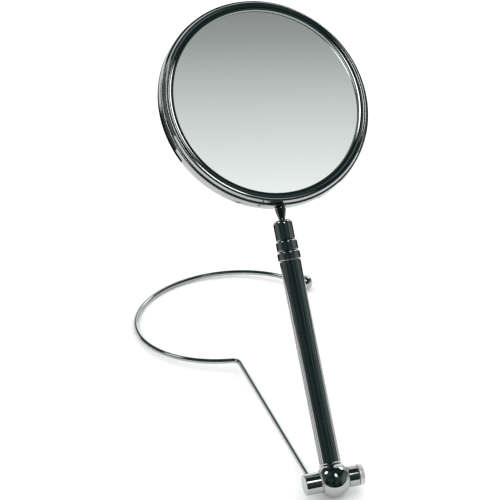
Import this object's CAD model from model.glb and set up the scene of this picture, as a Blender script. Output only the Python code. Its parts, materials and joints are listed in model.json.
"""Looks for the extendable shaving mirror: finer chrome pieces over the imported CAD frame, the studio and
the camera. The pieces are drawn in millimetres in the same local frames as the CAD and placed in metres."""
import json
from math import asin, atan2, cos, degrees, hypot, pi, radians, sin, sqrt, tan

import bmesh
import bpy
from mathutils import Matrix, Vector


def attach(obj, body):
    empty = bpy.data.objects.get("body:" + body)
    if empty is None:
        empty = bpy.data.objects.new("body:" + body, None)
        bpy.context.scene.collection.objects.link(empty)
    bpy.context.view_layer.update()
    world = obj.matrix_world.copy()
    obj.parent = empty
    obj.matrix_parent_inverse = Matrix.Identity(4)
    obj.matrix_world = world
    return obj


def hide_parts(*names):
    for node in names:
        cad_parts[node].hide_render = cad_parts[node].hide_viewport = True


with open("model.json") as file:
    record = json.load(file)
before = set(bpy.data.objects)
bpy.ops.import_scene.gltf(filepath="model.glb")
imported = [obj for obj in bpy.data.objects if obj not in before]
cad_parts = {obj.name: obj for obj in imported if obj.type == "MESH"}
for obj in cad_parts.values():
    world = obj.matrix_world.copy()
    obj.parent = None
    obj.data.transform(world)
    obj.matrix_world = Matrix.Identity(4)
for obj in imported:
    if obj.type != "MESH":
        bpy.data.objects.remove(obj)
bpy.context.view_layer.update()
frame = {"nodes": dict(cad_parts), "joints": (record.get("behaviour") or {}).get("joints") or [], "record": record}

MM = 0.001
GAP = 0.3  # between neighbouring pieces of one rigid group

# ---- Driving dimensions, in millimetres and degrees ---------------------------------------------
HEAD_SWIVEL = 6.8
HEAD_TILT = 7.1
HEAD_SIDE_LEAN = 5.3
HEAD_REACH = 78.34

WIRE_R = 1.65
LEG_X = -13
LOOP_CENTRE = (-1.7, 227.2)
LOOP_R = 64.4
BEND_R = 6
LOOP_END = radians(38.4)
END_STRAIGHT = 19.5
WIRE_START = -2  # inside the barrel
TIP_BALL_R = 5.3

HUB_R = 10.7
HUB_FLAT = 8
HUB_TOP = 8.1
BARREL_R = 6.4
BARREL_END = 18.3
BARREL_FACE = 8.6
PIN_R = 3
PIN_END = 12.4
CAP_START = 15.2
CAP_POCKET_R = 4.2  # for the screw's head
CAP_POCKET_DEPTH = 1.8
WASHER_POCKET_R = 4.9  # for the spring washer
WASHER_POCKET_FLOOR = 13.9
SCREW_HOLE_R = 1.8
PIN_HOLE_R = 1.7  # the screw's hole in the pin
PIN_HOLE_END = 4

GRIP_R = 6.55
GRIP_BORE_R = 5.3
GRIP_BOTTOM = 10.2
GRIP_TOP = 134.4
FLUTES = 26
FLUTE_DEPTH = 0.4
GRIP_STUD_HOLE_R = 2.5
FERRULE_R = 7
FERRULE_TOP = 140.2
MIDDLE_R = 4.5
MIDDLE_BORE_R = 3.9
MIDDLE_BOTTOM = 24
MIDDLE_TOP = 146
MIDDLE_COLLAR_R = 6.6
MIDDLE_COLLAR_TOP = 146.9
INNER_R = 3.3
INNER_BORE_R = 2.6
INNER_BOTTOM = 34
INNER_TOP = 151
SOCKET_R = 5.9
SOCKET_TOP = 159.66
SOCKET_SHOULDER = 3
SOCKET_FLOOR = 151.4
PIVOT = 156.7
BALL_R = 3.8
NECK_R = 1.5
STUD_R = 1.2
CONE_BOTTOM = 3.9
CONE_BOTTOM_R = 2
CONE_TOP = 9.9
CONE_TOP_R = 3.5
STUD_STOP = 61.6  # the stud ends this far short of the head's centre

GLASS_R = 62
GLASS_FACE = 4.6
LIP_R = 59.2
CREST_R = 64.2
HEAD_HALF = 6.8
BEZEL_R = 65.9
BAND_R = 67.3
CONCAVE_R = 1200
FRONT_GLASS = 2  # thickness
REAR_GLASS = 1.6
RING_BORE_R = 64  # inside the carrier ring and the bezels' skirts
SKIRT_R = 64.8
BAND_BORE_R = 65.1
BAND_BACK = -3.2
BAND_FRONT = 3.8
WEB_BACK = -2  # the web between the two skirts
WEB_FRONT = 1.2
LIP_BACK = 4.9  # just off the glass

# ---- Local frames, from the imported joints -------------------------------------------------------
JOINTS = {joint["name"]: joint for joint in frame["joints"]}
HUB = Vector(JOINTS["hub_hinge"]["pos_m"])
HANDLE_AXIS = Vector(JOINTS["middle_slide"]["axis"]).normalized()


def placed(origin, x_axis, z_axis):
    """The matrix of a frame with this origin, its Z along z_axis and its X near x_axis."""
    z = z_axis.normalized()
    y = z.cross(x_axis).normalized()
    turn = Matrix((y.cross(z), y, z)).transposed().to_4x4()
    return Matrix.Translation(origin) @ turn


STAND = Matrix.Translation(HUB)
HINGE_LINE = STAND @ Matrix.Rotation(pi / 2, 4, "Y")
HANDLE = placed(HUB, Vector((1, 0, 0)), HANDLE_AXIS)
HEAD = (
    HANDLE
    @ Matrix.Translation((0, 0, PIVOT * MM))
    @ Matrix.Rotation(radians(HEAD_SWIVEL), 4, "Z")
    @ Matrix.Rotation(radians(-HEAD_TILT), 4, "X")
    @ Matrix.Rotation(radians(HEAD_SIDE_LEAN), 4, "Y")
)
DISC = HEAD @ Matrix.Translation((0, 0, HEAD_REACH * MM)) @ Matrix.Rotation(pi / 2, 4, "X")
DISC_BACK = DISC @ Matrix.Rotation(pi, 4, "Y")


# ---- Material nodes -----------------------------------------------------------------------------
class Nodes:
    """A short way to add nodes to a tree and link them."""

    def __init__(self, tree):
        self.tree = tree
        tree.nodes.clear()

    def add(self, kind, settings=None, **inputs):
        node = self.tree.nodes.new(kind)
        for name, value in (settings or {}).items():
            setattr(node, name, value)
        for name, value in inputs.items():
            key = name.replace("_", " ")
            self.feed(node.inputs[int(key[1:]) if key[1:].isdigit() else key], value)
        return node

    def feed(self, socket, value):
        if isinstance(value, bpy.types.NodeSocket):
            self.tree.links.new(value, socket)
        else:
            socket.default_value = value

    def maths(self, operation, a, b=0.0):
        return self.add("ShaderNodeMath", {"operation": operation}, i0=a, i1=b).outputs[0]

    def square(self, value):
        return self.maths("MULTIPLY", value, value)

    def dot(self, vector, direction):
        node = self.add("ShaderNodeVectorMath", {"operation": "DOT_PRODUCT"}, i0=vector, i1=direction)
        return node.outputs["Value"]

    def remap(self, value, low, high, to_low, to_high, smooth=False):
        kind = "SMOOTHSTEP" if smooth else "LINEAR"
        node = self.add("ShaderNodeMapRange", {"interpolation_type": kind}, Value=value)
        node.inputs["From Min"].default_value = low
        node.inputs["From Max"].default_value = high
        node.inputs["To Min"].default_value = to_low
        node.inputs["To Max"].default_value = to_high
        return node.outputs["Result"]

    def noise(self, scale, detail=2.0, vector=None, roughness=0.5):
        node = self.add("ShaderNodeTexNoise", None, Scale=scale, Detail=detail, Roughness=roughness)
        if vector is not None:
            self.feed(node.inputs["Vector"], vector)
        return node.outputs["Fac"]

    def ramp(self, value, *stops):
        node = self.add("ShaderNodeValToRGB", None, Fac=value)
        first, last = node.color_ramp.elements
        first.position, first.color = stops[0][0], (*stops[0][1], 1)
        last.position, last.color = stops[-1][0], (*stops[-1][1], 1)
        for position, colour in stops[1:-1]:
            node.color_ramp.elements.new(position).color = (*colour, 1)
        return node.outputs["Color"]

    def place(self, scale=(1, 1, 1)):
        coordinates = self.add("ShaderNodeTexCoord").outputs["Object"]
        mapping = self.add("ShaderNodeMapping", None, Vector=coordinates)
        mapping.inputs["Scale"].default_value = scale
        return mapping.outputs["Vector"]


def material(name, build):
    made = bpy.data.materials.new(name)
    made.use_nodes = True
    nodes = Nodes(made.node_tree)
    output = nodes.add("ShaderNodeOutputMaterial")
    shader = nodes.add("ShaderNodeBsdfPrincipled")
    nodes.tree.links.new(shader.outputs["BSDF"], output.inputs["Surface"])
    build(nodes, shader)
    return made


def bump(nodes, shader, height, strength, distance):
    node = nodes.add("ShaderNodeBump", None, Strength=strength, Distance=distance, Height=height)
    nodes.feed(shader.inputs["Normal"], node.outputs["Normal"])


def chrome(name, tint=(0.405, 0.418, 0.416), rough=(0.015, 0.05), drawn=None):
    """Chrome plate: faint clouding, fine wiping marks and a barely uneven surface."""

    def build(nodes, shader):
        where = nodes.place()
        clouds = nodes.noise(60.0, 3.0, where)
        darker = tuple(0.93 * part for part in tint)
        lighter = tuple(min(1.04 * part, 1) for part in tint)
        nodes.feed(shader.inputs["Base Color"], nodes.ramp(clouds, (0.3, darker), (0.7, lighter)))
        shader.inputs["Metallic"].default_value = 1.0
        marks = nodes.noise(900.0, 4.0, nodes.place(drawn) if drawn else where, 0.65)
        smudges = nodes.noise(110.0, 4.0, where, 0.6)
        mixed = nodes.maths("MULTIPLY", marks, smudges)
        nodes.feed(shader.inputs["Roughness"], nodes.remap(mixed, 0.1, 0.45, rough[0], rough[1]))
        bump(nodes, shader, nodes.noise(350.0, 2.0, where), 0.012, 0.0004)

    return material(name, build)


def mirror_glass(name):
    """Silvered glass: sharp, faintly green, with the odd speck and a soft film that darkens it a little."""

    def build(nodes, shader):
        where = nodes.place()
        film = nodes.noise(35.0, 3.0, where)
        specks = nodes.remap(nodes.noise(2600.0, 1.0, where), 0.74, 0.80, 1.0, 0.9)
        tone = nodes.ramp(film, (0.3, (0.865, 0.895, 0.882)), (0.75, (0.885, 0.908, 0.897)))
        mixed = nodes.add("ShaderNodeVectorMath", {"operation": "SCALE"}, i0=tone)
        nodes.feed(mixed.inputs["Scale"], specks)
        nodes.feed(shader.inputs["Base Color"], mixed.outputs["Vector"])
        shader.inputs["Metallic"].default_value = 1.0
        shader.inputs["Roughness"].default_value = 0.0

    return material(name, build)


def moulded(name, dark, light, scale, rough, height):
    """Moulded or foamed plastic: mottled colour, uneven gloss and a fine surface grain."""

    def build(nodes, shader):
        where = nodes.place()
        mottle = nodes.noise(scale, 4.0, where)
        nodes.feed(shader.inputs["Base Color"], nodes.ramp(mottle, (0.3, dark), (0.7, light)))
        gloss = nodes.noise(scale * 2.3, 3.0, where)
        nodes.feed(shader.inputs["Roughness"], nodes.remap(gloss, 0.3, 0.7, rough - 0.08, rough + 0.08))
        bump(nodes, shader, nodes.noise(scale * 5, 3.0, where), 0.25, height)

    return material(name, build)


def turned_metal(name, dark, light, rough):
    """Plain machined metal with turning marks that ring it."""

    def build(nodes, shader):
        where = nodes.place((1, 1, 6))
        marks = nodes.noise(700.0, 3.0, where, 0.7)
        nodes.feed(shader.inputs["Base Color"], nodes.ramp(marks, (0.3, dark), (0.7, light)))
        shader.inputs["Metallic"].default_value = 1.0
        nodes.feed(shader.inputs["Roughness"], nodes.remap(marks, 0.3, 0.7, rough - 0.07, rough + 0.1))
        bump(nodes, shader, marks, 0.08, 0.0002)

    return material(name, build)


def satin(name):
    """Silver-coloured satin finish: brighter and blunter than the chrome beside it."""

    def build(nodes, shader):
        where = nodes.place()
        grain = nodes.noise(500.0, 3.0, where, 0.6)
        tone = nodes.ramp(grain, (0.3, (0.47, 0.48, 0.48)), (0.7, (0.54, 0.55, 0.545)))
        nodes.feed(shader.inputs["Base Color"], tone)
        shader.inputs["Metallic"].default_value = 0.4
        nodes.feed(shader.inputs["Roughness"], nodes.remap(grain, 0.3, 0.7, 0.28, 0.38))
        bump(nodes, shader, grain, 0.05, 0.0002)

    return material(name, build)


MATERIALS = {
    "chrome": chrome("chrome_plate"),
    "ring": chrome("chrome_ring", rough=(0.03, 0.06)),
    "dark": chrome("dark_chrome", (0.134, 0.142, 0.142), (0.12, 0.2)),
    "wire": chrome("chrome_wire", rough=(0.02, 0.07), drawn=(1, 0.12, 1)),
    "satin": satin("satin_silver"),
    "tube": chrome("chrome_tube", rough=(0.02, 0.06), drawn=(1, 1, 0.15)),
    "mirror_glass": mirror_glass("silvered_glass"),
    "spring_steel": turned_metal("zinc_steel", (0.30, 0.30, 0.31), (0.46, 0.46, 0.47), 0.35),
    "brass": turned_metal("turned_brass", (0.55, 0.43, 0.20), (0.71, 0.59, 0.33), 0.3),
    "nylon": moulded("natural_nylon", (0.72, 0.71, 0.66), (0.86, 0.85, 0.80), 400.0, 0.45, 0.0001),
    "core_board": moulded("dark_board", (0.035, 0.037, 0.04), (0.075, 0.078, 0.082), 300.0, 0.7, 0.0002),
    "foam": moulded("pad_foam", (0.62, 0.62, 0.59), (0.80, 0.80, 0.77), 900.0, 0.9, 0.0004),
}


# ---- Mesh making --------------------------------------------------------------------------------
def corner_points(before, corner, after, radius, steps):
    """The points of a rounding of this radius at a corner of an outline."""
    to_before = (Vector(before) - Vector(corner)).normalized()
    to_after = (Vector(after) - Vector(corner)).normalized()
    half = to_before.angle(to_after) / 2
    start = Vector(corner) + to_before * (radius / tan(half))
    centre = Vector(corner) + (to_before + to_after).normalized() * (radius / sin(half))
    end = Vector(corner) + to_after * (radius / tan(half))
    first, last = start - centre, end - centre
    sweep = first.angle(last)
    points = []
    for step in range(steps + 1):
        f = step / steps
        blend = (first * sin((1 - f) * sweep) + last * sin(f * sweep)) / sin(sweep)
        points.append(tuple(centre + blend))
    return points


def rounded(*corners, steps=5, closed=False):
    """An outline from (r, z) or (r, z, rounding) corners."""
    outline = []
    count = len(corners)
    for index, corner in enumerate(corners):
        if len(corner) == 2:
            outline.append(corner)
            continue
        before = corners[index - 1][:2] if closed or index else corner[:2]
        after = corners[(index + 1) % count][:2]
        outline += corner_points(before, corner[:2], after, corner[2], steps)
    return outline


def arc(centre_r, centre_z, radius_r, radius_z, start, end, steps):
    """Points of an arc in a profile, angles in degrees from the radial direction."""
    angles = [radians(start + (end - start) * i / steps) for i in range(steps + 1)]
    return [(centre_r + radius_r * cos(a), centre_z + radius_z * sin(a)) for a in angles]


def finish_mesh(name, mesh, place, look, body, replaced, sharp=32):
    """Turns a bmesh in millimetres into a placed, smooth-shaded piece that rides on its body."""
    bmesh.ops.remove_doubles(mesh, verts=mesh.verts, dist=1e-4)
    bmesh.ops.recalc_face_normals(mesh, faces=mesh.faces)
    data = bpy.data.meshes.new(name)
    mesh.to_mesh(data)
    mesh.free()
    data.transform(Matrix.Scale(MM, 4))
    data.shade_smooth()
    data.set_sharp_from_angle(angle=radians(sharp))
    data.materials.append(MATERIALS[look])
    made = bpy.data.objects.new(name, data)
    bpy.context.scene.collection.objects.link(made)
    made.matrix_world = place
    weighted = made.modifiers.new("even_shading", "WEIGHTED_NORMAL")
    weighted.keep_sharp = True
    weighted.weight = 90
    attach(made, body)
    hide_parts(*replaced)


def turn(profile, segments):
    """A bmesh of revolution about Z from (radius, height) pairs; a profile clear of the axis is closed."""
    mesh = bmesh.new()
    loop = all(radius > 1e-6 for radius, _ in profile)
    rings = []
    for radius, height in profile:
        if radius <= 1e-6:
            rings.append([mesh.verts.new((0, 0, height))])
            continue
        angles = [2 * pi * i / segments for i in range(segments)]
        rings.append([mesh.verts.new((radius * cos(a), radius * sin(a), height)) for a in angles])
    pairs = list(zip(rings, rings[1:]))
    if loop:
        pairs.append((rings[-1], rings[0]))
    for low, high in pairs:
        for i in range(segments):
            j = (i + 1) % segments
            corners = [low[i % len(low)], low[j % len(low)], high[j % len(high)], high[i % len(high)]]
            unique = list(dict.fromkeys(corners))
            if len(unique) > 2:
                mesh.faces.new(unique)
    return mesh


def slice_off(mesh, point, direction):
    """Cuts away what lies beyond a plane and closes the cut."""
    everything = mesh.verts[:] + mesh.edges[:] + mesh.faces[:]
    cut = bmesh.ops.bisect_plane(
        mesh, geom=everything, plane_co=point, plane_no=direction, clear_outer=True, dist=1e-5
    )
    edges = [item for item in cut["geom_cut"] if isinstance(item, bmesh.types.BMEdge)]
    bmesh.ops.holes_fill(mesh, edges=edges, sides=0)


def turned(name, profile, place, body, node, segments=72, look="chrome"):
    mesh = turn(profile, segments)
    finish_mesh(name, mesh, place, look, body, [node])


def swept(points, normal, radius, sides):
    """A bmesh tube along points that lie in a plane with this normal."""
    mesh = bmesh.new()
    rings = []
    for index, point in enumerate(points):
        ahead = points[min(index + 1, len(points) - 1)]
        behind = points[max(index - 1, 0)]
        side = (ahead - behind).normalized().cross(normal)
        ring = []
        for i in range(sides):
            angle = 2 * pi * i / sides
            ring.append(mesh.verts.new(point + radius * (cos(angle) * side + sin(angle) * normal)))
        rings.append(ring)
    for low, high in zip(rings, rings[1:]):
        for i in range(sides):
            j = (i + 1) % sides
            mesh.faces.new((low[i], low[j], high[j], high[i]))
    mesh.faces.new(rings[0][::-1])
    mesh.faces.new(rings[-1])
    return mesh


def drilled(mesh, radius, centre, length):
    """Takes a round hole along Y out of a bmesh, with Blender's boolean."""
    parts = []
    tool = bmesh.new()
    bmesh.ops.create_cone(tool, cap_ends=True, segments=32, radius1=radius, radius2=radius, depth=length)
    bmesh.ops.rotate(tool, verts=tool.verts, matrix=Matrix.Rotation(pi / 2, 3, "X"))
    bmesh.ops.translate(tool, verts=tool.verts, vec=centre)
    for name, shape in (("drilled_stock", mesh), ("drill_tool", tool)):
        bmesh.ops.recalc_face_normals(shape, faces=shape.faces)
        data = bpy.data.meshes.new(name)
        shape.to_mesh(data)
        shape.free()
        parts.append(bpy.data.objects.new(name, data))
        bpy.context.scene.collection.objects.link(parts[-1])
    stock, drill = parts
    cut = stock.modifiers.new("hole", "BOOLEAN")
    cut.operation = "DIFFERENCE"
    cut.object = drill
    result = bmesh.new()
    result.from_object(stock, bpy.context.evaluated_depsgraph_get())
    for item in parts:
        bpy.data.objects.remove(item)
    return result


# ---- Wire stand: hub centre at the origin -------------------------------------------------------
def on_loop(angle):
    return (LOOP_CENTRE[0] + LOOP_R * cos(angle), LOOP_CENTRE[1] + LOOP_R * sin(angle))


LOOP_EXIT = on_loop(LOOP_END)
TIP = (LOOP_EXIT[0] + END_STRAIGHT * sin(LOOP_END), LOOP_EXIT[1] - END_STRAIGHT * cos(LOOP_END))


def resting_plane():
    """The wire's plane z = slope_x x + slope_y y + rise: loop and tip ball both rest on the table."""
    slope_x = slope_y = 0.0
    for _ in range(200):
        slope_y = (TIP_BALL_R - HUB_R - slope_x * (TIP[0] - LEG_X)) / TIP[1]
        tilt = hypot(slope_x, slope_y)
        lowest = slope_x * (LOOP_CENTRE[0] - LEG_X) + slope_y * LOOP_CENTRE[1] - LOOP_R * tilt
        slope_x += (lowest - WIRE_R + HUB_R) / 400
    return slope_x, slope_y, -slope_x * LEG_X


SLOPE_X, SLOPE_Y, RISE = resting_plane()


def on_plane(point):
    x, y = point
    return Vector((x, y, SLOPE_X * x + SLOPE_Y * y + RISE))


def wire_points():
    bend_x = LEG_X - BEND_R
    bend_y = LOOP_CENTRE[1] - sqrt((LOOP_R + BEND_R) ** 2 - (bend_x - LOOP_CENTRE[0]) ** 2)
    join = atan2(bend_y - LOOP_CENTRE[1], bend_x - LOOP_CENTRE[0])
    sweep = 2 * pi + join - LOOP_END
    leg_steps, bend_steps, loop_steps, end_steps = 30, 24, 180, 12
    flat = [(LEG_X, WIRE_START + f / leg_steps * (bend_y - WIRE_START)) for f in range(leg_steps)]
    turns = [f / bend_steps * (join + pi) for f in range(bend_steps)]
    flat += [(bend_x + BEND_R * cos(a), bend_y + BEND_R * sin(a)) for a in turns]
    flat += [on_loop(join - f / loop_steps * sweep) for f in range(loop_steps)]
    for f in range(end_steps + 1):
        part = f / end_steps
        flat.append(tuple(a + part * (b - a) for a, b in zip(LOOP_EXIT, TIP)))
    return [on_plane(point) for point in flat]


def add_stand():
    normal = Vector((-SLOPE_X, -SLOPE_Y, 1)).normalized()
    wire = swept(wire_points(), normal, WIRE_R, 24)
    finish_mesh("stand_wire", wire, STAND, "wire", "stand", ["wire_stand"], 50)

    # The tip ball is turned about the wire's end, with a drilled and slightly countersunk socket.
    back = (on_plane(LOOP_EXIT) - on_plane(TIP)).normalized()
    socket = degrees(asin((WIRE_R + 0.45) / TIP_BALL_R))
    ball = [(0, -TIP_BALL_R)] + arc(0, 0, TIP_BALL_R, TIP_BALL_R, -86, 90 - socket, 30)
    hole = [(WIRE_R + GAP, ball[-1][1] - 0.3), (WIRE_R + GAP, -GAP), (0, -GAP)]
    place = STAND @ placed(on_plane(TIP) * MM, Vector((0, 0, 1)), back)
    turned("stand_tip_ball", ball + hole, place, "stand", "tip_ball", 64)

    spindle = rounded(
        (0, -BARREL_END), (BARREL_R, -BARREL_END, 0.45), (BARREL_R, -BARREL_FACE, 0.3),
        (PIN_R, -BARREL_FACE), (PIN_R, PIN_END, 0.3), (PIN_HOLE_R, PIN_END), (PIN_HOLE_R, PIN_HOLE_END),
        (0, PIN_HOLE_END),
    )
    hole_start = -2.6
    hole_length = 10
    middle = hole_start + hole_length / 2
    left = drilled(turn(spindle, 96), WIRE_R + GAP, (0, middle, LEG_X), hole_length)
    finish_mesh("hinge_barrel_left", left, HINGE_LINE, "chrome", "stand", ["hinge_spindle"])
    right = rounded(
        (PIN_R + GAP, BARREL_FACE), (BARREL_R, BARREL_FACE, 0.3), (BARREL_R, CAP_START - 0.3, 0.3),
        (WASHER_POCKET_R, CAP_START - 0.3), (WASHER_POCKET_R, WASHER_POCKET_FLOOR),
        (SCREW_HOLE_R, WASHER_POCKET_FLOOR), (SCREW_HOLE_R, PIN_END + 0.5),
        (PIN_R + GAP, PIN_END + 0.5),
    )
    turned("hinge_barrel_right", right, HINGE_LINE, "stand", "barrel_right", 96)
    cap = rounded(
        (0, CAP_START + CAP_POCKET_DEPTH), (CAP_POCKET_R, CAP_START + CAP_POCKET_DEPTH),
        (CAP_POCKET_R, CAP_START), (BARREL_R, CAP_START, 0.2),
        (BARREL_R, CAP_START + 1.2), (BARREL_R - 0.25, BARREL_END, 0.5), (0, BARREL_END),
    )
    turned("hinge_end_cap", cap, HINGE_LINE, "stand", "end_cap", 96, "satin")


# ---- Handle and telescopic sections: Z runs up the handle from the hub centre --------------------
def add_hub():
    edge = degrees(asin(HUB_FLAT / HUB_R))
    rim = HUB_R * cos(radians(edge))
    outline = [(PIN_R + 0.05, -HUB_FLAT), (rim - 0.25, -HUB_FLAT)]
    outline += arc(0, 0, HUB_R, HUB_R, -edge + 1.2, edge - 1.2, 48)
    outline += [(rim - 0.25, HUB_FLAT), (PIN_R + 0.05, HUB_FLAT)]
    mesh = turn(outline, 128)
    bmesh.ops.rotate(mesh, verts=mesh.verts, matrix=Matrix.Rotation(pi / 2, 3, "Y"))
    slice_off(mesh, (0, 0, HUB_TOP), (0, 0, 1))
    finish_mesh("hub_ball_shell", mesh, HANDLE, "chrome", "handle", ["hub_ball"])


def fluted_tube():
    """Smooth reeds with a narrow groove between them, chamfered at both ends."""
    per_reed = 20
    groove = 0.3  # part of the pitch
    count = FLUTES * per_reed
    mesh = bmesh.new()

    def ring(height, inset):
        points = []
        for i in range(count):
            across = abs(2 * (i % per_reed) / per_reed - 1)
            sunk = max(0, (across - 1 + groove) / groove)
            radius = GRIP_R - FLUTE_DEPTH * sunk**1.5 - inset
            angle = 2 * pi * i / count
            points.append(mesh.verts.new((radius * cos(angle), radius * sin(angle), height)))
        return points

    def bore(height):
        angles = [2 * pi * i / count for i in range(count)]
        return [mesh.verts.new((GRIP_BORE_R * cos(a), GRIP_BORE_R * sin(a), height)) for a in angles]

    rings = [
        bore(GRIP_BOTTOM), ring(GRIP_BOTTOM, 0.35), ring(GRIP_BOTTOM + 0.35, 0),
        ring(GRIP_TOP - 0.35, 0), ring(GRIP_TOP, 0.35), bore(GRIP_TOP),
    ]
    for low, high in zip(rings, rings[1:] + rings[:1]):
        for i in range(count):
            j = (i + 1) % count
            mesh.faces.new((low[i], low[j], high[j], high[i]))
    return mesh


def band(inner, outer, low, high, low_edge, high_edge):
    """A collar whose outer edges are rolled over by these radii."""
    return rounded((inner, low), (outer, low, low_edge), (outer, high, high_edge), (inner, high), steps=8)


def pipe(inner, outer, low, high):
    """The outline of a plain tube."""
    return [(inner, low), (outer, low), (outer, high), (inner, high)]


def add_handle():
    add_hub()
    ring = band(GRIP_STUD_HOLE_R, GRIP_R + 0.35, HUB_TOP + GAP, GRIP_BOTTOM - GAP, 0.4, 0.4)
    turned("grip_foot_ring", ring, HANDLE, "handle", "grip_ring")
    finish_mesh("grip_fluted", fluted_tube(), HANDLE, "tube", "handle", ["grip_tube"], 40)
    ferrule = band(GRIP_BORE_R, FERRULE_R, GRIP_TOP + GAP, FERRULE_TOP, 0.6, 1.2)
    turned("grip_top_ferrule", ferrule, HANDLE, "handle", "grip_ferrule")


def add_sections():
    tube = pipe(MIDDLE_BORE_R, MIDDLE_R, MIDDLE_BOTTOM, MIDDLE_TOP)
    turned("middle_pipe", tube, HANDLE, "middle_section", "middle_tube", look="tube")
    ring = band(MIDDLE_R + GAP, MIDDLE_COLLAR_R, FERRULE_TOP + GAP, MIDDLE_COLLAR_TOP, 0.6, 1.2)
    turned("middle_band", ring, HANDLE, "middle_section", "middle_collar")
    tube = pipe(INNER_BORE_R, INNER_R, INNER_BOTTOM, INNER_TOP)
    turned("inner_pipe", tube, HANDLE, "inner_section", "inner_tube", look="tube")
    seat_r = BALL_R + 0.1
    rise = 65  # degrees of the shoulder's arc, up to the countersunk mouth
    shoulder_z = SOCKET_TOP - SOCKET_SHOULDER * sin(radians(rise))
    bottom = MIDDLE_COLLAR_TOP + GAP
    cap = rounded((INNER_R + GAP, bottom), (SOCKET_R, bottom, 0.45), (SOCKET_R, 150))
    cap += arc(SOCKET_R - SOCKET_SHOULDER, shoulder_z, SOCKET_SHOULDER, SOCKET_SHOULDER, 0, rise, 16)
    cap += arc(0, PIVOT, seat_r, seat_r, 30, 0, 8)
    cap += [(seat_r, SOCKET_FLOOR), (INNER_R + GAP, SOCKET_FLOOR)]
    turned("ball_socket", cap, HANDLE, "inner_section", "socket_cap", 96)


# ---- Head: Z runs up the stem from the ball centre ----------------------------------------------
def add_stem():
    neck = 90 - degrees(asin(NECK_R / BALL_R))
    end = HEAD_REACH - STUD_STOP
    stud = [(0, -BALL_R)] + arc(0, 0, BALL_R, BALL_R, -86, neck, 30)
    stud += [(NECK_R, CONE_TOP + 0.7), (STUD_R, CONE_TOP + 0.9), (STUD_R, end), (0, end)]
    turned("ball_and_stud", stud, HEAD, "head", "ball_stud", 64)
    cone = rounded(
        (NECK_R + GAP, CONE_BOTTOM), (CONE_BOTTOM_R, CONE_BOTTOM, 0.15),
        (CONE_TOP_R, CONE_TOP, 0.25), (NECK_R + GAP, CONE_TOP),
    )
    turned("stem_taper", cone, HEAD, "head", "stem_cone", 64, "dark")
    flange = band(NECK_R + GAP, CONE_TOP_R, CONE_TOP + GAP, CONE_TOP + 0.8, 0.15, 0.15)
    turned("stem_collar", flange, HEAD, "head", "stem_flange", 64)


def bezel(edge, base, skirt_end):
    """A pressed ring that laps over the glass: a low inner bead, a shallow groove, the crest and a steep
    outer side. Its foot sits on the carrier ring's band and its skirt snaps inside."""
    return rounded(
        (RING_BORE_R, skirt_end), (SKIRT_R, skirt_end), (SKIRT_R, edge), (BEZEL_R, edge, 0.45),
        (CREST_R + 0.3, HEAD_HALF + 0.25, 0.9), (62.8, 6.05, 1.2), (61.2, 6.6, 3.2),
        (LIP_R + 0.45, 6.2, 0.05), (LIP_R, LIP_BACK), (GLASS_R + GAP, LIP_BACK), (GLASS_R + GAP, base),
        (RING_BORE_R, base), steps=10, closed=True,
    )


def carrier_ring():
    """The wide band round the head, a little narrower towards the front."""
    return rounded(
        (RING_BORE_R, WEB_BACK), (BAND_BORE_R, WEB_BACK), (BAND_BORE_R, BAND_BACK),
        (BAND_R - 0.1, BAND_BACK, 0.4), (BAND_R, 0.4, 1.5), (BAND_R - 0.45, BAND_FRONT, 0.7),
        (BAND_BORE_R, BAND_FRONT), (BAND_BORE_R, WEB_FRONT), (RING_BORE_R, WEB_FRONT), closed=True,
    )


def front_glass():
    edge = 0.3
    return rounded(
        (0, GLASS_FACE - FRONT_GLASS), (GLASS_R, GLASS_FACE - FRONT_GLASS),
        (GLASS_R, GLASS_FACE - edge, 0.1), (LIP_R - GAP, GLASS_FACE), (0, GLASS_FACE),
    )


def rear_glass():
    """The enlarging mirror: a shallow dish, concave on the side facing out."""
    steps = 24

    def sunk(radius):
        return (GLASS_R**2 - radius**2) / (2 * CONCAVE_R)

    radii = [GLASS_R * i / steps for i in range(steps + 1)]
    face = [(r, GLASS_FACE - sunk(r)) for r in radii]
    back = [(r, GLASS_FACE - REAR_GLASS - sunk(r)) for r in reversed(radii)]
    return face + back


def add_disc():
    turned("head_carrier", carrier_ring(), DISC, "head", "carrier_ring", 256, "ring")
    turned("front_bead", bezel(4.1, 2.2, 1.5), DISC, "head", "front_bezel", 512, "ring")
    glass = "mirror_glass"
    turned("front_looking_glass", front_glass(), DISC, "head", "front_mirror", 256, glass)
    turned("rear_bead", bezel(3.5, 3.5, 2.3), DISC_BACK, "head", "rear_bezel", 256, "ring")
    turned("rear_looking_glass", rear_glass(), DISC_BACK, "head", "rear_mirror", 256, glass)


def dress_cad_nodes():
    """The pieces that stay as CAD nodes take the finished material of their slot."""
    slots = {part["node"]: part["material_slot"] for part in frame["record"]["subparts"]}
    for name, node in frame["nodes"].items():
        if not node.hide_render:
            node.data.materials.clear()
            node.data.materials.append(MATERIALS[slots[name]])


# ---- Studio -------------------------------------------------------------------------------------
VIEW_TURN = radians(14.9)  # the camera stands this far round from straight in front
VIEW_DOWN = radians(27.6)
VIEW_ROLL = radians(2.7)
VIEW_DISTANCE = 1.32
AIM_RIGHT = -0.0501  # what the camera is centred on, from the hub, along its own axes
AIM_UP = 0.1378
LENS = 158.4

TABLE_FRONT = 0.042  # the table's front edge, ahead of the hub
TABLE_BACK = 0.15  # its back edge, from the middle of the object
TABLE_SIDE = 1.5
TABLE_HEIGHT = -0.0001
FLOOR_SIDE = 12
FLOOR_HEIGHT = -0.0006

PALE_LIGHT = 1.35  # what the camera and matt surfaces see all round
ROOM_DARK = (0.010, 0.021, 0.021)
ROOM_LIGHT = (0.054, 0.087, 0.083)
ROOM_SIDES = (0.96, -0.28, 0)  # towards its paler sides
GLASS_GREY = (0.056, 0.845, 0.532)  # towards what the looking glasses see as grey
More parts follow.
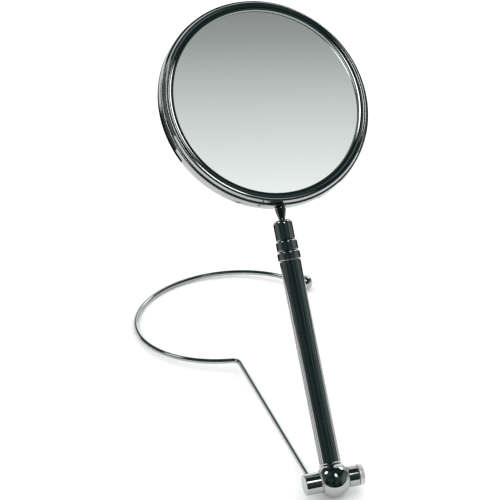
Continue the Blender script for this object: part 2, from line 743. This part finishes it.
# Each soft lamp's direction, the tangents of its half width and half height, and its level.
LAMPS = (
    ((0.145, -0.505, 0.85), 0.11, 0.18, 5.5),
    ((-0.61, 0.25, 0.75), 0.14, 0.16, 4.0),
    ((0.72, 0.40, 0.57), 0.14, 0.16, 4.0),
)


def camera_axes():
    level = Vector((cos(VIEW_TURN), -sin(VIEW_TURN), 0))
    ahead = Vector((sin(VIEW_TURN) * cos(VIEW_DOWN), cos(VIEW_TURN) * cos(VIEW_DOWN), -sin(VIEW_DOWN)))
    upright = level.cross(ahead)
    right = cos(VIEW_ROLL) * level - sin(VIEW_ROLL) * upright
    up = sin(VIEW_ROLL) * level + cos(VIEW_ROLL) * upright
    return right, up, ahead


def add_camera():
    right, up, ahead = camera_axes()
    data = bpy.data.cameras.new("camera")
    data.lens = LENS
    data.sensor_width = 36
    data.clip_start = 0.05
    data.clip_end = 50
    camera = bpy.data.objects.new("camera", data)
    bpy.context.scene.collection.objects.link(camera)
    turn_to = Matrix((right, up, -ahead)).transposed().to_4x4()
    centre = HUB + AIM_RIGHT * right + AIM_UP * up
    camera.matrix_world = Matrix.Translation(centre - VIEW_DISTANCE * ahead) @ turn_to
    bpy.context.scene.camera = camera


def floor_plane(name, low, high, height, look):
    data = bpy.data.meshes.new(name)
    corners = [(low[0], low[1]), (high[0], low[1]), (high[0], high[1]), (low[0], high[1])]
    data.from_pydata([(x, y, height) for x, y in corners], [], [(0, 1, 2, 3)])
    data.materials.append(look)
    made = bpy.data.objects.new(name, data)
    bpy.context.scene.collection.objects.link(made)
    return made


def add_floor():
    """A pale table under the object, and the same pale floor around it, which chrome doesn't pick up."""

    def build(nodes, shader):
        grain = nodes.noise(8.0, 3.0, nodes.place())
        tone = nodes.ramp(grain, (0.3, (0.925, 0.93, 0.93)), (0.7, (0.935, 0.94, 0.94)))
        nodes.feed(shader.inputs["Base Color"], tone)
        shader.inputs["Roughness"].default_value = 0.9
        shader.inputs["Specular IOR Level"].default_value = 0.0

    pale = material("pale_floor", build)
    front_left = (-TABLE_SIDE, HUB.y - TABLE_FRONT)
    floor_plane("table", front_left, (TABLE_SIDE, TABLE_BACK), TABLE_HEIGHT, pale)
    low, high = (-FLOOR_SIDE, -FLOOR_SIDE), (FLOOR_SIDE, FLOOR_SIDE)
    around = floor_plane("floor", low, high, FLOOR_HEIGHT, pale)
    around.visible_glossy = False
    around.visible_diffuse = False
    around.visible_shadow = False


def soft_lamp(nodes, heading, direction, half_width, half_height, level):
    """The light of a soft-edged oval lamp far away in this direction, by the heading of a ray."""
    ahead = Vector(direction).normalized()
    side = Vector((0, 0, 1)).cross(ahead).normalized()
    facing = nodes.dot(heading, ahead)
    near = nodes.maths("MAXIMUM", facing, 0.05)
    across = nodes.maths("DIVIDE", nodes.dot(heading, side / half_width), near)
    upwards = nodes.maths("DIVIDE", nodes.dot(heading, ahead.cross(side) / half_height), near)
    distance = nodes.maths("SQRT", nodes.maths("ADD", nodes.square(across), nodes.square(upwards)))
    inside = nodes.remap(distance, 0.7, 1.25, level, 0.0, smooth=True)
    return nodes.maths("MULTIPLY", inside, nodes.maths("GREATER_THAN", facing, 0.05))


def add_world():
    """Soft pale light all round. Chrome sees a dim room with soft lamps, glass a graded pale one."""
    world = bpy.data.worlds.new("studio")
    bpy.context.scene.world = world
    world.use_nodes = True
    world.cycles.sampling_method = "NONE"
    nodes = Nodes(world.node_tree)
    heading = nodes.add("ShaderNodeTexCoord").outputs["Generated"]

    # The room: dark teal with lighter stretches, paler to the sides and nearly black below the table's
    # level. A pale backdrop stands behind the object to its right, and the horizon straight behind is pale.
    stretches = nodes.noise(1.7, 1.0, heading)
    room = nodes.ramp(stretches, (0.36, ROOM_DARK), (0.64, ROOM_LIGHT))
    climb = nodes.dot(heading, (0, 0, 1))
    sideways = nodes.maths("ABSOLUTE", nodes.dot(heading, ROOM_SIDES))
    paler = nodes.remap(sideways, 0.72, 0.97, 0.0, 0.14, smooth=True)
    above = nodes.remap(climb, -0.32, -0.12, 0.15, 1.0, smooth=True)
    ahead = nodes.dot(heading, (0, 1, 0))
    to_the_right = nodes.remap(nodes.dot(heading, (1, 0, 0)), 0.16, 0.26, 0.0, 1.0, smooth=True)
    behind = nodes.remap(ahead, 0.30, 0.50, 0.0, 1.0, smooth=True)
    above_table = nodes.remap(climb, 0.02, 0.15, 0.0, 1.0, smooth=True)
    backdrop = nodes.maths("MULTIPLY", nodes.maths("MULTIPLY", to_the_right, behind), above_table)
    level_band = nodes.maths(
        "MULTIPLY",
        nodes.remap(climb, -0.32, -0.2, 0.0, 1.0, smooth=True),
        nodes.remap(climb, 0.24, 0.36, 1.0, 0.0, smooth=True),
    )
    far_ahead = nodes.remap(ahead, 0.72, 0.82, 0.0, 1.1, smooth=True)
    horizon = nodes.maths("MULTIPLY", level_band, far_ahead)
    lamps = [soft_lamp(nodes, heading, *lamp) for lamp in LAMPS]
    light = paler
    for extra in (backdrop, horizon, *lamps):
        light = nodes.maths("ADD", light, extra)
    shaded = nodes.add("ShaderNodeVectorMath", {"operation": "SCALE"}, i0=room)
    nodes.feed(shaded.inputs["Scale"], above)
    lit = nodes.add("ShaderNodeVectorMath", {"operation": "ADD"}, i0=shaded.outputs["Vector"])
    nodes.feed(lit.inputs[1], light)

    # What the looking glasses see: a room that shades from pale to grey.
    height = nodes.remap(nodes.dot(heading, GLASS_GREY), -0.01, 0.14, 0, 1)
    graded = nodes.ramp(
        height, (0.1, (0.965, 0.985, 0.975)), (0.5, (0.625, 0.655, 0.642)),
        (0.78, (0.35, 0.37, 0.362)), (0.9, (0.28, 0.292, 0.288)),
    )

    rays = nodes.add("ShaderNodeLightPath").outputs
    pale = (PALE_LIGHT, PALE_LIGHT, PALE_LIGHT, 1)
    seen = nodes.add("ShaderNodeMix", {"data_type": "RGBA"})
    nodes.feed(seen.inputs["Factor"], rays["Is Glossy Ray"])
    nodes.feed(seen.inputs[6], pale)
    nodes.feed(seen.inputs[7], lit.outputs["Vector"])
    sharp = nodes.add("ShaderNodeMix", {"data_type": "RGBA"})
    nodes.feed(sharp.inputs["Factor"], rays["Is Singular Ray"])
    nodes.feed(sharp.inputs[6], seen.outputs[2])
    nodes.feed(sharp.inputs[7], graded)
    background = nodes.add("ShaderNodeBackground", None, Color=sharp.outputs[2], Strength=1.0)
    output = nodes.add("ShaderNodeOutputWorld")
    nodes.tree.links.new(background.outputs[0], output.inputs["Surface"])


add_camera()
add_stand()
add_handle()
add_sections()
add_stem()
add_disc()
dress_cad_nodes()
add_floor()
add_world()
bpy.context.scene.view_settings.view_transform = "Standard"
